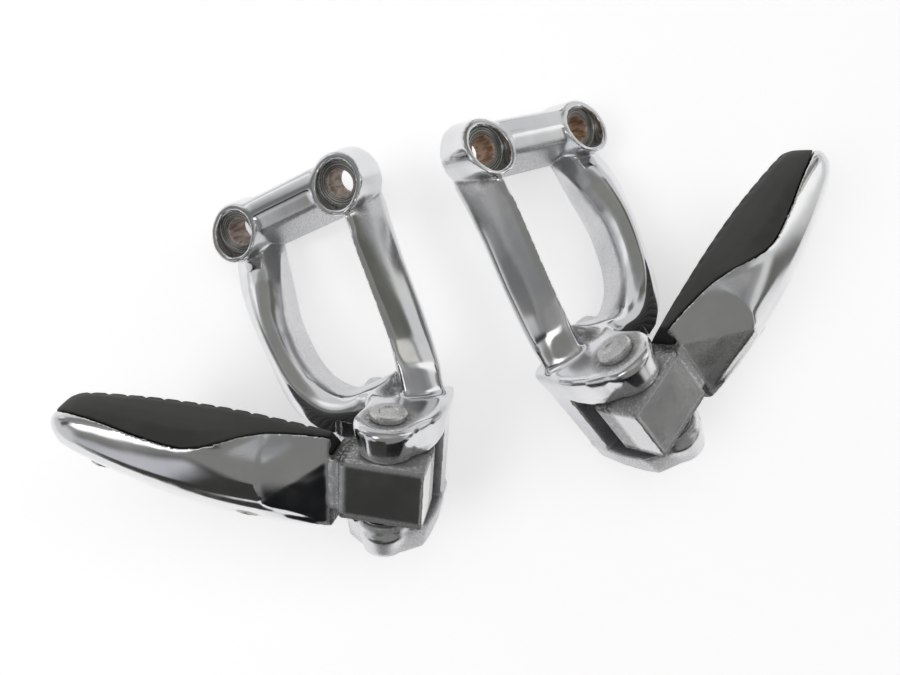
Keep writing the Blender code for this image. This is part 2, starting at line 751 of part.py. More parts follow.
def screw_mesh(x):
    """Cross-recess pan-head screw that holds the pad's plate, head below."""
    frame, length = screw_frame(x)
    r, h = SCREW_HEAD_RADIUS, SCREW_HEAD_HEIGHT
    tip = length + PLATE_THICKNESS - 0.0002
    profile = [
        (0, tip),
        (SCREW_RADIUS * 0.8, tip),
        (SCREW_RADIUS, tip - 0.0006),
        (SCREW_RADIUS, -SEAT_GAP),
        (r, -SEAT_GAP),
        (r, -SEAT_GAP - h * 0.35),
        (r * 0.86, -SEAT_GAP - h * 0.75),
        (r * 0.55, -SEAT_GAP - h),
        (0, -SEAT_GAP - h),
    ]
    screw = turned(profile, steps=14)
    low = -SEAT_GAP - h - 0.001
    top = -SEAT_GAP - h + CROSS_DEPTH
    a, b = CROSS_WIDTH / 2, CROSS_LENGTH / 2
    slots = [box((-a, -b, low), (a, b, top)), box((-b, -a, low), (b, a, top))]
    boolean(screw, "DIFFERENCE", slots)
    done = evaluated_mesh(screw)
    done.transform(frame)
    return done


# Pieces on the pin

def pin_mesh():
    """Clevis pin with a flat head on the upper ear and a clip groove at its tail."""
    r, head = PIN_RADIUS, PIN_HEAD_RADIUS
    seat = EAR_TOP + SEAT_GAP
    top = seat + PIN_HEAD_HEIGHT
    groove_top = CLIP_TOP + GAP
    groove_low = CLIP_TOP - CLIP_THICKNESS - GAP
    neck = r - CLIP_GROOVE_DEPTH
    end = groove_low - PIN_TAIL
    profile = [
        (0, top - 0.0004),
        (head * 0.45, top - 0.0004),
        (head * 0.55, top),
        (head - PIN_HEAD_CHAMFER, top),
        (head, top - PIN_HEAD_CHAMFER),
        (head, seat),
        (r, seat),
        (r, groove_top),
        (neck, groove_top),
        (neck, groove_low),
        (r, groove_low),
        (r, end + 0.0005),
        (r - 0.0005, end),
        (0, end),
    ]
    return evaluated_mesh(turned(profile))


def washer_mesh():
    inner = PIN_RADIUS + GAP
    low = WASHER_TOP - WASHER_THICKNESS
    profile = [
        (WASHER_RADIUS, WASHER_TOP),
        (WASHER_RADIUS, low),
        (inner, low),
        (inner, WASHER_TOP),
    ]
    return evaluated_mesh(turned(profile, closed=True))


def wave_washer_mesh():
    """Thin spring ring with three waves."""
    bm = bmesh.new()
    steps = 36
    inner = PIN_RADIUS + GAP
    middle = -BLOCK_HALF_HEIGHT - SEAT_GAP - (WAVE_HEIGHT + WAVE_THICKNESS) / 2
    rows = []
    for k in range(steps):
        angle = 2 * math.pi * k / steps
        lift = middle + math.cos(3 * angle) * WAVE_HEIGHT / 2
        row = []
        for radius, side in ((inner, 0.5), (WAVE_RADIUS, 0.5), (WAVE_RADIUS, -0.5), (inner, -0.5)):
            point = (radius * math.cos(angle), radius * math.sin(angle), lift + side * WAVE_THICKNESS)
            row.append(bm.verts.new(point))
        rows.append(row)
    for k in range(steps):
        near, far = rows[k], rows[(k + 1) % steps]
        for i in range(4):
            j = (i + 1) % 4
            bm.faces.new((near[i], near[j], far[j], far[i]))
    return evaluated_mesh(work_object(bm))


def clip_mesh():
    """Flat open clip that snaps into the groove of the pin's tail."""
    inner = PIN_RADIUS - CLIP_GROOVE_DEPTH + GAP
    start = CLIP_OPENING / 2
    steps = 24
    angles = [start + (2 * math.pi - CLIP_OPENING) * k / steps for k in range(steps + 1)]
    outline = [(CLIP_RADIUS * math.cos(a), CLIP_RADIUS * math.sin(a)) for a in angles]
    outline += [(inner * math.cos(a), inner * math.sin(a)) for a in reversed(angles)]
    return evaluated_mesh(prism(outline, CLIP_TOP - CLIP_THICKNESS, CLIP_TOP))


def ball_mesh():
    bm = bmesh.new()
    bmesh.ops.create_uvsphere(bm, u_segments=12, v_segments=8, radius=BALL_RADIUS)
    place = (-DETENT_OFFSET, 0, BLOCK_HALF_HEIGHT + BALL_PROUD - BALL_RADIUS)
    return evaluated_mesh(work_object(bm, Matrix.Translation(place)))


def spring_mesh():
    """Coil spring between the bottom of the detent bore and the ball."""
    coil = BALL_RADIUS - SPRING_WIRE - 0.0001
    low = BLOCK_HALF_HEIGHT - DETENT_DEPTH + SEAT_GAP + SPRING_WIRE
    high = BLOCK_HALF_HEIGHT + BALL_PROUD - BALL_RADIUS * 2 - SEAT_GAP - SPRING_WIRE
    per_turn = 7
    count = SPRING_TURNS * per_turn
    curve = bpy.data.curves.new("spring", "CURVE")
    curve.dimensions = "3D"
    curve.bevel_depth = SPRING_WIRE
    curve.bevel_resolution = 2
    curve.use_fill_caps = True
    line = curve.splines.new("POLY")
    line.points.add(count)
    for k in range(count + 1):
        angle = 2 * math.pi * k / per_turn
        height = low + (high - low) * k / count
        x = -DETENT_OFFSET + coil * math.cos(angle)
        line.points[k].co = (x, coil * math.sin(angle), height, 1)
    made = bpy.data.objects.new("spring", curve)
    WORK.objects.link(made)
    bm = bmesh.new()
    bm.from_mesh(evaluated_mesh(made))
    bpy.data.objects.remove(made, do_unlink=True)
    bmesh.ops.remove_doubles(bm, verts=bm.verts, dist=0.00001)
    return evaluated_mesh(work_object(bm))


# Materials

def material(name, colour, metallic, roughness):
    made = bpy.data.materials.new(name)
    made.use_nodes = True
    shader = made.node_tree.nodes["Principled BSDF"]
    shader.inputs["Base Color"].default_value = (*colour, 1.0)
    shader.inputs["Metallic"].default_value = metallic
    shader.inputs["Roughness"].default_value = roughness
    return made


FINISHES = {
    "bracket": ((0.80, 0.81, 0.82), 1.0, 0.12),
    "pivot_pin": ((0.62, 0.62, 0.61), 1.0, 0.32),
    "pin_washer": ((0.60, 0.60, 0.60), 1.0, 0.35),
    "pin_clip": ((0.25, 0.25, 0.26), 1.0, 0.40),
    "wave_washer": ((0.45, 0.45, 0.46), 1.0, 0.35),
    "peg_body": ((0.80, 0.81, 0.82), 1.0, 0.14),
    "rubber_pad": ((0.03, 0.03, 0.03), 0.0, 0.70),
    "pad_plate": ((0.40, 0.40, 0.41), 1.0, 0.45),
    "pad_screw_inner": ((0.55, 0.54, 0.52), 1.0, 0.35),
    "pad_screw_outer": ((0.55, 0.54, 0.52), 1.0, 0.35),
    "detent_ball": ((0.65, 0.65, 0.66), 1.0, 0.15),
    "detent_spring": ((0.45, 0.45, 0.46), 1.0, 0.35),
}


def mirrored(mesh):
    """A copy of a mesh, mirrored across its own X = 0 plane."""
    twin = mesh.copy()
    twin.transform(Matrix.Diagonal((-1, 1, 1, 1)))
    twin.flip_normals()
    return twin


def triangles(mesh):
    bm = bmesh.new()
    bm.from_mesh(mesh)
    bmesh.ops.triangulate(bm, faces=bm.faces)
    bm.to_mesh(mesh)
    bm.free()
    return mesh


def add_empty(name, parent, matrix):
    made = bpy.data.objects.new(name, None)
    made.empty_display_size = 0.02
    PARTS.objects.link(made)
    made.parent = parent
    made.matrix_local = matrix
    return made


def add_piece(name, side, mesh, parent):
    mesh = mirrored(mesh) if side == "right" else mesh.copy()
    mesh.name = name + "_" + side
    mesh.materials.clear()
    colour, metallic, roughness = FINISHES[name]
    mesh.materials.append(material(mesh.name, colour, metallic, roughness))
    mesh.shade_smooth()
    mesh.set_sharp_from_angle(angle=math.radians(32.0))
    made = bpy.data.objects.new(mesh.name, mesh)
    PARTS.objects.link(made)
    made.parent = parent
    return made


def bottom_centre(objects):
    """The middle of the bounding box, at its lowest height."""
    bpy.context.view_layer.update()
    points = [made.matrix_world @ v.co for made in objects for v in made.data.vertices]
    low = [min(p[i] for p in points) for i in range(3)]
    high = [max(p[i] for p in points) for i in range(3)]
    return Vector(((low[0] + high[0]) / 2, (low[1] + high[1]) / 2, low[2]))


clear_scene()
PARTS = new_collection(COLLECTION_NAME)
WORK = new_collection("cutters")

BLOCK_HALF_HEIGHT = EAR_UNDERSIDE - SEAT_GAP
FOLDED_LIMIT = math.radians(-8.0)
OPEN_LIMIT = math.radians(83.4)
RECESS_DEPTH = SEAT_GAP * 2 + WASHER_THICKNESS + CLIP_THICKNESS + GAP + PIN_TAIL
RECESS_TOP = LOWER_EAR_BOTTOM + RECESS_DEPTH
WASHER_TOP = RECESS_TOP - SEAT_GAP
CLIP_TOP = WASHER_TOP - WASHER_THICKNESS - SEAT_GAP

fixed_meshes = {"bracket": bracket_mesh()}
pin_meshes = {
    "pivot_pin": pin_mesh(),
    "pin_washer": washer_mesh(),
    "pin_clip": clip_mesh(),
    "wave_washer": wave_washer_mesh(),
}
peg_meshes = {
    "peg_body": peg_mesh(),
    "rubber_pad": pad_mesh(),
    "pad_plate": plate_mesh(),
    "pad_screw_inner": screw_mesh(SCREW_PLACES[0]),
    "pad_screw_outer": screw_mesh(SCREW_PLACES[1]),
    "detent_ball": ball_mesh(),
    "detent_spring": spring_mesh(),
}
for group in (fixed_meshes, pin_meshes, peg_meshes):
    for made_mesh in group.values():
        triangles(made_mesh)

flip = Matrix.Diagonal((-1, 1, 1, 1))
left_frame = Matrix.Translation((*LEFT_PLACE, 0)) @ Euler(LEFT_TURN).to_matrix().to_4x4()
right_place = Matrix.Translation((*RIGHT_SHIFT, 0)) @ Matrix.Rotation(RIGHT_TURN, 4, "Z")
frames = {
    "left": (left_frame, HINGE_TO_BRACKET, LEFT_FOLD),
    "right": (right_place @ flip @ left_frame @ flip, flip @ HINGE_TO_BRACKET @ flip, -RIGHT_FOLD),
}
side_empties = []
pieces = []
for side, (frame, hinge, fold) in frames.items():
    root = add_empty("frame_" + side, None, frame)
    pin_axis = add_empty("pin_axis_" + side, root, hinge)
    peg_axis = add_empty("fold_axis_" + side, pin_axis, Matrix.Rotation(fold, 4, "Z"))
    side_empties.append(root)
    for name, made_mesh in fixed_meshes.items():
        pieces.append(add_piece(name, side, made_mesh, root))
    for name, made_mesh in pin_meshes.items():
        pieces.append(add_piece(name, side, made_mesh, pin_axis))
    for name, made_mesh in peg_meshes.items():
        pieces.append(add_piece(name, side, made_mesh, peg_axis))

origin = bottom_centre(pieces)
for root in side_empties:
    root.location -= origin
bpy.context.view_layer.update()
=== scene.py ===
"""Looks of the pair of passenger footpegs: polished castings, rubber treads, worn pins."""

import json
import math

import bmesh
import bpy
import numpy as np
from mathutils import Euler, Matrix, Vector
from mathutils.bvhtree import BVHTree


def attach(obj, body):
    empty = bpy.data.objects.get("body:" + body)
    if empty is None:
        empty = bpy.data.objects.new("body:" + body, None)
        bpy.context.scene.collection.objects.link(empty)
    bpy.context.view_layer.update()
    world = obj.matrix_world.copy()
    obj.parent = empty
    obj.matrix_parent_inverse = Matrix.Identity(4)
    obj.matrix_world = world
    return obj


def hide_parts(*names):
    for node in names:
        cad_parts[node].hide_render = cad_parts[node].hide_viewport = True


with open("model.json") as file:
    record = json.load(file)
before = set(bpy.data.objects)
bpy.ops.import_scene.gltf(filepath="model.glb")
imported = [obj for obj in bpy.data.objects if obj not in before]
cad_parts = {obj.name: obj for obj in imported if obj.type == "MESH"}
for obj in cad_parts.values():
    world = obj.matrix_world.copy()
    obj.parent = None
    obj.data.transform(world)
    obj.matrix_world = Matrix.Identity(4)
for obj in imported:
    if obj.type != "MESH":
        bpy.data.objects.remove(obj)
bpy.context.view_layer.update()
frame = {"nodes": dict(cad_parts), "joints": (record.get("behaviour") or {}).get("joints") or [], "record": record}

SIDES = ("left", "right")

# Where the sides lie: the bracket's turn and the pin in the bracket's own frame
LEFT_TURN = Euler((math.radians(65.06), math.radians(26.05), math.radians(-165.75))).to_matrix()
RIGHT_SPIN = Matrix.Rotation(math.radians(40.69), 3, "Z")
MIRROR = Matrix.Diagonal((-1, 1, 1))
PIN_IN_BRACKET = Vector((-0.0216, 0.0545, -0.0939))
HINGE_TURN = Euler((math.radians(-1.9), math.radians(-28.1), math.radians(7.5))).to_matrix()
FOLD = {"left": 0.0, "right": math.radians(-5.48)}
BOLT_X = 0.02485
LOOP_LEAN = math.radians(28.7)

# Camera
CAMERA_FROM_PIN = (0.02084, 0.00780, 0.21798)
CAMERA_TILT = math.radians(10.32)
LENS_MM = 26.03

# Stage
TABLE_FRONT = -0.22
TABLE_GLOW = 0.40
ROOM_SOFT = 4.0

# The peg's near side at the root: sections as the solid has them, along x
PEG_SECTIONS = np.array((
    # x, centre, tread half, tread t, widest half, underside half, underside t, seam t
    (0.0140, -0.0011, 0.0150, 0.0098, 0.0192, 0.0096, -0.0152, 0.0080),
    (0.0260, 0.0008, 0.0160, 0.0107, 0.0250, 0.0105, -0.0162, 0.0060),
    (0.0360, 0.0024, 0.0162, 0.0111, 0.0268, 0.0110, -0.0165, 0.0030),
    (0.0460, 0.0039, 0.0160, 0.0115, 0.0261, 0.0118, -0.0164, -0.0022),
    (0.0560, 0.0055, 0.0150, 0.0117, 0.0245, 0.0126, -0.0158, -0.0049),
    (0.0660, 0.0071, 0.0136, 0.0117, 0.0231, 0.0132, -0.0147, -0.0044),
    (0.0760, 0.0086, 0.0126, 0.0114, 0.0220, 0.0138, -0.0131, -0.0028),
    (0.0860, 0.0102, 0.0121, 0.0106, 0.0213, 0.0146, -0.0110, -0.0011),
    (0.0940, 0.0115, 0.0116, 0.0098, 0.0205, 0.0152, -0.0090, -0.0001),
    (0.0990, 0.0122, 0.0104, 0.0093, 0.0183, 0.0140, -0.0074, 0.0005),
    (0.1020, 0.0127, 0.0084, 0.0090, 0.0148, 0.0110, -0.0056, 0.0007),
))
WIDEST_T = -0.0020
SIDE_ROUNDING = 1.5
FACET_TOP = (0.0171, 0.0065, 0.0090)
FACET_LOW = (0.0178, 0.0062, -0.0151)
FACET_END = (0.0345, 0.0225, 0.0)
FACET_INSIDE = ((0.020, 0.0, -0.008), (0.026, 0.0096, -0.0124))
SWEEP_BULGE = 0.0032
SWEEP_FADE = 0.022
SIDE_REACH = 0.0090
FAR_REACH = 0.0012
SIDE_EDGE = 0.0009
CREASE_FADE = 0.0006
ROOT_FADE = (0.0178, 0.0190)
FAR_FADE = (0.040, 0.044)
FACING_OUT = (0.30, 0.45)

# What a casting has rounded, in the bracket's frame: junctions of the legs with the bosses
# and ears, and the long crowns of the legs, each as a line's start, its end and its reach
FILLETS = (
    ((0.0180, 0.0020, -0.0100), (0.0212, 0.0055, -0.0122), 0.0060),
    ((-0.0255, 0.0080, -0.0115), (-0.0263, 0.0088, -0.0140), 0.0065),
    ((-0.0355, 0.0350, -0.0700), (-0.0405, 0.0305, -0.0750), 0.0100),
    ((-0.0285, 0.0370, -0.0715), (-0.0235, 0.0440, -0.0690), 0.0095),
    ((-0.0300, 0.0050, -0.0190), (-0.0355, 0.0148, -0.0377), 0.0068),
    ((-0.0355, 0.0148, -0.0377), (-0.0402, 0.0236, -0.0574), 0.0068),
    ((-0.0402, 0.0236, -0.0574), (-0.0420, 0.0288, -0.0690), 0.0068),
    ((0.0196, 0.0150, -0.0250), (0.0176, 0.0180, -0.0308), 0.0070),
    ((0.0176, 0.0180, -0.0308), (0.0143, 0.0236, -0.0405), 0.0070),
    ((0.0143, 0.0236, -0.0405), (0.0097, 0.0284, -0.0510), 0.0070),
    ((0.0097, 0.0284, -0.0510), (0.0027, 0.0323, -0.0607), 0.0070),
    ((0.0027, 0.0323, -0.0607), (-0.0080, 0.0375, -0.0670), 0.0070),
)
FILLET_ROUNDS = 110
FILLET_CORE = 0.4

# Where each mark is gone and where it is full: on the bracket
RUST_RADIUS = (0.0056, 0.0050)
RUST_FRONT = (0.001, -0.0002)
BORE_RADIUS = (0.0087, 0.0082)
HALO_RADIUS = (0.0105, 0.0066)
HALO_HEIGHT = (0.012, 0.016)
JAW_RADIUS = (0.0150, 0.0100)
JAW_HEIGHT = (0.0150, 0.0135)
JOIN_RADIUS = (0.0045, 0.0015)
LOOP_MIDDLE = -0.010
LOOP_REACH = (0.030, 0.018)
LOOP_TOP = (-0.002, 0.006)
LOOP_FRONT = (0.000, -0.006)
BAR_UNDERSIDE = (-0.0015, -0.004)
BAR_FOOT = (-0.016, -0.012)
BAR_REACH = (0.020, 0.012)
LOWER_EAR_TOP = (-0.008, -0.012)
LOWER_EAR_REACH = (0.030, 0.020)
UPPER_EAR_UNDERSIDE = (0.008, 0.012)
UPPER_EAR_REACH = (0.022, 0.016)

# The same on the peg
ROOT_END = (0.0185, 0.0165)
NECK_START = (0.0105, 0.0125)
BLOCK_TOP = (0.0080, 0.0100)
BLOCK_UNDERSIDE = (-0.0080, -0.0100)
BLOCK_BACK = (0.0, -0.003)
BLOCK_END = (0.0120, 0.0105)
FACET_START = (0.0170, 0.0175)
FACET_STOP = (0.036, 0.034)
CREASE_WIDTH = 0.0004
SEAM_REACH = (0.011, 0.003)
TIP_REACH = (0.088, 0.100)

# Turning marks in the bores, in radians a metre
RING_WAVES = 6800.0

# Painted shade in the corners between bosses and legs, and a scuffed stretch of the peg's seam
PAINTED_SHADE_SPOTS = ((-0.0300, 0.0028, -0.0098), (0.0205, 0.0040, -0.0110), (-0.0265, 0.0380, -0.0710))
SEAM_SCUFF = (0.040, 0.019, 0.021)

# Shares of the way to the neighbours' mean: to smooth, and out and back to even out
SMOOTH_SHARE = 0.5
EVEN_SHARES = (0.60, -0.62)

# Rounds that even out facets, and rounds that calm the normals
RELAX_ROUNDS = 40
CALM_ROUNDS = 24

# Step along a normal that turns it with its mesh
NORMAL_STEP = 0.01

# Voxel size of the copies that are smoothed, and the sizes that are kept
FINE = 0.00032
KEPT = {"bracket": 0.00062, "peg_body": 0.00058, "rubber_pad": 0.00062}

joints = {joint["name"]: joint for joint in frame["joints"]}
PIN = {side: Vector(joints["fold_" + side]["pos_m"]) for side in SIDES}


def bracket_turn(side):
    """Turn from the bracket's own frame to the world, mirrored on the right side."""
    if side == "left":
        return LEFT_TURN
    return RIGHT_SPIN @ MIRROR @ LEFT_TURN


def to_bracket(points, side):
    """World points as rows in the bracket's frame, the same for both sides."""
    turn = np.array(bracket_turn(side))
    return (points - np.array(PIN[side])) @ turn + np.array(PIN_IN_BRACKET)


def from_bracket(rows, side):
    turn = np.array(bracket_turn(side))
    return (rows - np.array(PIN_IN_BRACKET)) @ turn.T + np.array(PIN[side])


def peg_turn(side):
    return np.array(bracket_turn(side) @ HINGE_TURN @ Matrix.Rotation(FOLD[side], 3, "Z"))


def to_peg(points, side):
    """World points as rows in the peg's frame: X along the peg, Z along the pin."""
    return (points - np.array(PIN[side])) @ peg_turn(side)


def from_peg(rows, side):
    return rows @ peg_turn(side).T + np.array(PIN[side])


# Meshes

def read_points(mesh):
    points = np.zeros(len(mesh.vertices) * 3)
    mesh.vertices.foreach_get("co", points)
    return points.reshape(-1, 3)


def write_points(mesh, points):
    mesh.vertices.foreach_set("co", points.ravel())
    mesh.update()


def edge_pairs(mesh):
    pairs = np.zeros(len(mesh.edges) * 2, np.int64)
    mesh.edges.foreach_get("vertices", pairs)
    return pairs.reshape(-1, 2)


def triangle_rows(mesh):
    mesh.calc_loop_triangles()
    rows = np.zeros(len(mesh.loop_triangles) * 3, np.int64)
    mesh.loop_triangles.foreach_get("vertices", rows)
    return rows.reshape(-1, 3)


def spread_sum(index, values, count):
    """Sum rows of values by the vertex that each belongs to."""
    if values.ndim == 1:
        return np.bincount(index, values, count)
    return np.stack([np.bincount(index, column, count) for column in values.T], axis=1)


def unit(rows):
    return rows / np.maximum(np.linalg.norm(rows, axis=1, keepdims=True), 1e-12)


def vertex_normals(points, rows):
    a, b, c = (points[rows[:, k]] for k in range(3))
    face = np.cross(b - a, c - a)
    total = sum(spread_sum(rows[:, k], face, len(points)) for k in range(3))
    return unit(total)


def crease_weights(normals, pairs, crease):
    """How far two neighbours lie on one smooth surface, from 1 down to 0 across an edge."""
    bend = 1 - np.sum(normals[pairs[:, 0]] * normals[pairs[:, 1]], axis=1)
    return np.exp(-bend / (1 - math.cos(crease)))


def neighbour_mean(values, pairs, weights, count):
    a, b = pairs.T
    if values.ndim == 1:
        values = values[:, None]
    total = spread_sum(a, values[b] * weights[:, None], count)
    total += spread_sum(b, values[a] * weights[:, None], count)
    shares = np.bincount(a, weights, count) + np.bincount(b, weights, count)
    return total / np.maximum(shares, 1e-9)[:, None]


def relax(mesh, rounds, crease):
    """Even out facets and voxel steps, and keep the edges that are sharper than the crease."""
    points = read_points(mesh)
    pairs = edge_pairs(mesh)
    rows = triangle_rows(mesh)
    count = len(points)
    for step in range(rounds):
        if step % 4 == 0:
            normals = vertex_normals(points, rows)
            weights = crease_weights(normals, pairs, crease)
        for push in EVEN_SHARES:
            points = points + push * (neighbour_mean(points, pairs, weights, count) - points)
    write_points(mesh, points)


def blunt(mesh, rounds):
    """Round every edge a little, as polishing does."""
    points = read_points(mesh)
    pairs = edge_pairs(mesh)
    ones = np.ones(len(pairs))
    for _ in range(rounds):
        points = points + SMOOTH_SHARE * (neighbour_mean(points, pairs, ones, len(points)) - points)
    write_points(mesh, points)


def calm(mesh, rounds, crease):
    """Normals smoothed along the surface, so that polish shows no facets."""
    points = read_points(mesh)
    pairs = edge_pairs(mesh)
    normals = vertex_normals(points, triangle_rows(mesh))
    for _ in range(rounds):
        weights = crease_weights(normals, pairs, crease)
        normals = unit(normals + 2 * neighbour_mean(normals, pairs, weights, len(points)))
    return normals


def settle(mesh, fine, fine_normals):
    """Lay a mesh on a finer one, and give the finer one's normal at each vertex."""
    points = read_points(mesh)
    rows = triangle_rows(fine)
    tree = BVHTree.FromPolygons(read_points(fine).tolist(), rows.tolist())
    corners = read_points(fine)[rows]
    spots = np.empty_like(points)
    faces = np.empty(len(points), np.int64)
    for index, point in enumerate(points.tolist()):
        spot, _, face, _ = tree.find_nearest(point)
        spots[index] = spot
        faces[index] = face
    weights = 1 / (np.linalg.norm(corners[faces] - spots[:, None], axis=2) + 1e-6)
    normals = unit(np.sum(fine_normals[rows[faces]] * weights[:, :, None], axis=1))
    write_points(mesh, spots)
    return normals


def curvature(mesh, rounds):
    """Signed bend of the surface in 1/mm: over 0 on outer edges, under 0 in hollows."""
    points = read_points(mesh)
    pairs = edge_pairs(mesh)
    count = len(points)
    normals = vertex_normals(points, triangle_rows(mesh))
    ones = np.ones(len(pairs))
    rise = np.sum((points - neighbour_mean(points, pairs, ones, count)) * normals, axis=1)
    length = np.linalg.norm(points[pairs[:, 0]] - points[pairs[:, 1]], axis=1).mean()
    bend = rise / length ** 2 / 1000
    for _ in range(rounds):
        bend = neighbour_mean(bend, pairs, ones, count)[:, 0]
    return bend


def store(mesh, name, values):
    kind = "FLOAT" if values.ndim == 1 else "FLOAT_VECTOR"
    attribute = mesh.attributes.new(name, kind, "POINT")
    key = "value" if values.ndim == 1 else "vector"
    attribute.data.foreach_set(key, values.astype(np.float32).ravel())


def ramp(values, low, high):
    share = np.clip((values - low) / (high - low), 0, 1)
    return share * share * (3 - 2 * share)


def copied(node, name):
    """A new object with a copy of the mesh of a CAD node."""
    mesh = frame["nodes"][node].data.copy()
    mesh.materials.clear()
    mesh.name = name
    made = bpy.data.objects.new(name, mesh)
    bpy.context.scene.collection.objects.link(made)
    return made


def section(column, x):
    """One column of the peg's sections, smoothly along x."""
    rows = PEG_SECTIONS
    index = np.clip(np.searchsorted(rows[:, 0], x, side="right") - 1, 0, len(rows) - 2)
    after = np.minimum(index + 2, len(rows) - 1)
    before = np.maximum(index - 1, 0)
    x0, x1 = rows[index, 0], rows[index + 1, 0]
    v0, v1 = rows[index, column], rows[index + 1, column]
    slope0 = (v1 - rows[before, column]) / (x1 - rows[before, 0])
    slope1 = (rows[after, column] - v0) / (rows[after, 0] - x0)
    t = np.clip((x - x0) / (x1 - x0), 0, 1)
    bend = slope0 * (t ** 3 - 2 * t ** 2 + t) + slope1 * (t ** 3 - t ** 2)
    return v0 * (2 * t ** 3 - 3 * t ** 2 + 1) + v1 * (3 * t ** 2 - 2 * t ** 3) + (x1 - x0) * bend


def side_half(x, t):
    """Half width of the peg at height t of its section at x."""
    widest = section(4, x)
    up = np.clip((t - WIDEST_T) / (section(3, x) - WIDEST_T), 0, 1) ** SIDE_ROUNDING
    down = np.clip((WIDEST_T - t) / (WIDEST_T - section(6, x)), 0, 1) ** SIDE_ROUNDING
    high = widest + (section(2, x) - widest) * up
    low = widest + (section(5, x) - widest) * down
    return np.where(t > WIDEST_T, high, low)


def tread_place(point):
    x, y, z = point
    return np.array((x, (y + z) / math.sqrt(2), (z - y) / math.sqrt(2)))


def near_side(x, t):
    """Where the near side lies: a sweep from the seam to the facet's crease, then the section."""
    top, end = tread_place(FACET_TOP), tread_place(FACET_END)
    held = np.minimum(x, end[0])
    share = (held - top[0]) / (end[0] - top[0])
    crease_s = top[1] + (end[1] - top[1]) * share
    crease_t = top[2] + (end[2] - top[2]) * share
    seam = section(7, held)
    seam_s = section(1, held) + side_half(held, seam)
    place = np.clip((t - crease_t) / (seam - crease_t), 0, 1)
    bulge = SWEEP_BULGE * share ** 2 * 4 * place * (1 - place)
    sweep = crease_s + (seam_s - crease_s) * place + bulge
    inset = np.maximum(section(1, held) + side_half(held, t) - sweep, 0)
    inset = inset * ramp(x, end[0] + SWEEP_FADE, end[0])
    return section(1, x) + side_half(x, t) - inset, crease_t


def smooth_sides(local, facing):
    """Lay the peg's sides on smooth sections, where the solid has flat stretches."""
    x = local[:, 0]
    outward = (facing[:, 1] + facing[:, 2]) / math.sqrt(2)
    s = (local[:, 1] + local[:, 2]) / math.sqrt(2)
    t = (local[:, 2] - local[:, 1]) / math.sqrt(2)
    near, crease_t = near_side(x, t)
    far = section(1, x) - side_half(x, t)
    low, high = section(6, x) + SIDE_EDGE, section(7, x) - SIDE_EDGE
    within = ramp(t, low, low + SIDE_EDGE) * ramp(t, high, high - SIDE_EDGE)
    within = within * ramp(x, *ROOT_FADE) * ramp(x, PEG_SECTIONS[-1, 0], PEG_SECTIONS[-3, 0])
    above = np.where(x < FACET_END[0], ramp(t, crease_t, crease_t + CREASE_FADE), 1.0)
    close = ramp(np.abs(near - s), SIDE_REACH, SIDE_REACH * 0.7)
    to_near = within * above * close * (s > section(1, x)) * ramp(outward, *FACING_OUT)
    to_far = within * ramp(x, *FAR_FADE) * (s < section(1, x)) * (np.abs(far - s) < FAR_REACH)
    to_far = to_far * ramp(-outward, *FACING_OUT)
    s = s + to_near * (near - s) + to_far * (far - s)
    return np.stack((x, (s - t) / math.sqrt(2), (s + t) / math.sqrt(2)), axis=1)


def root_wedge(made, side):
    """Fill the corner under the root's facet, which the voxels then join to the casting."""
    bm = bmesh.new()
    bm.from_mesh(made.data)
    corners = np.array((FACET_TOP, FACET_LOW, FACET_END, *FACET_INSIDE))
    verts = [bm.verts.new(point) for point in from_peg(corners, side).tolist()]
    bmesh.ops.convex_hull(bm, input=verts)
    bm.to_mesh(made.data)
    bm.free()


def soften(mesh, local, rounds):
    """Round the junctions where the legs run into the bosses and the ears."""
    points = read_points(mesh)
    pairs = edge_pairs(mesh)
    ones = np.ones(len(pairs))
    share = np.zeros(len(points))
    for start, end, reach in FILLETS:
        line = np.array(end) - np.array(start)
        along = np.clip((local - np.array(start)) @ line / (line @ line), 0, 1)
        away = np.linalg.norm(local - np.array(start) - along[:, None] * line, axis=1)
        share = np.maximum(share, ramp(away, reach, reach * FILLET_CORE))
    share = SMOOTH_SHARE * share[:, None]
    for _ in range(rounds):
        points = points + share * (neighbour_mean(points, pairs, ones, len(points)) - points)
    write_points(mesh, points)


def voxels(made, size):
    """Turn the mesh of an object into even small quads."""
    step = made.modifiers.new("voxels", "REMESH")
    step.mode = "VOXEL"
    step.voxel_size = size
    bpy.context.view_layer.update()
    view = bpy.context.evaluated_depsgraph_get()
    made.data = bpy.data.meshes.new_from_object(made.evaluated_get(view))
    made.modifiers.clear()
    return made.data


def polished(node, name, size, rounding, crease):
    """A fine copy of a node with softened edges and without facets, and its normals."""
    made = copied(node, name)
    if node.startswith("peg_body"):
        root_wedge(made, "left")
    fine = voxels(made, FINE)
    if node.startswith("peg_body"):
        points = read_points(fine)
        facing = vertex_normals(points, triangle_rows(fine)) @ peg_turn("left")
        write_points(fine, from_peg(smooth_sides(to_peg(points, "left"), facing), "left"))
    if node.startswith("bracket"):
        soften(fine, to_bracket(read_points(fine), "left"), FILLET_ROUNDS)
    blunt(fine, rounding)
    relax(fine, RELAX_ROUNDS, crease)
    fine_normals = calm(fine, CALM_ROUNDS, crease)
    mesh = voxels(made, size)
    normals = settle(mesh, fine, fine_normals)
    bpy.data.meshes.remove(fine)
    return made, normals


def placed_twin(made, name, normals, back, forth):
    """The right side's piece: the left one's mesh, mirrored and laid by the right side's frame."""
    mesh = made.data.copy()
    mesh.name = name
    points = read_points(mesh)
    placed = forth(back(points, "left"), "right")
    turned = unit(forth(back(points + normals * NORMAL_STEP, "left"), "right") - placed)
    write_points(mesh, placed)
    mesh.flip_normals()
    twin = bpy.data.objects.new(name, mesh)
    bpy.context.scene.collection.objects.link(twin)
    return twin, turned


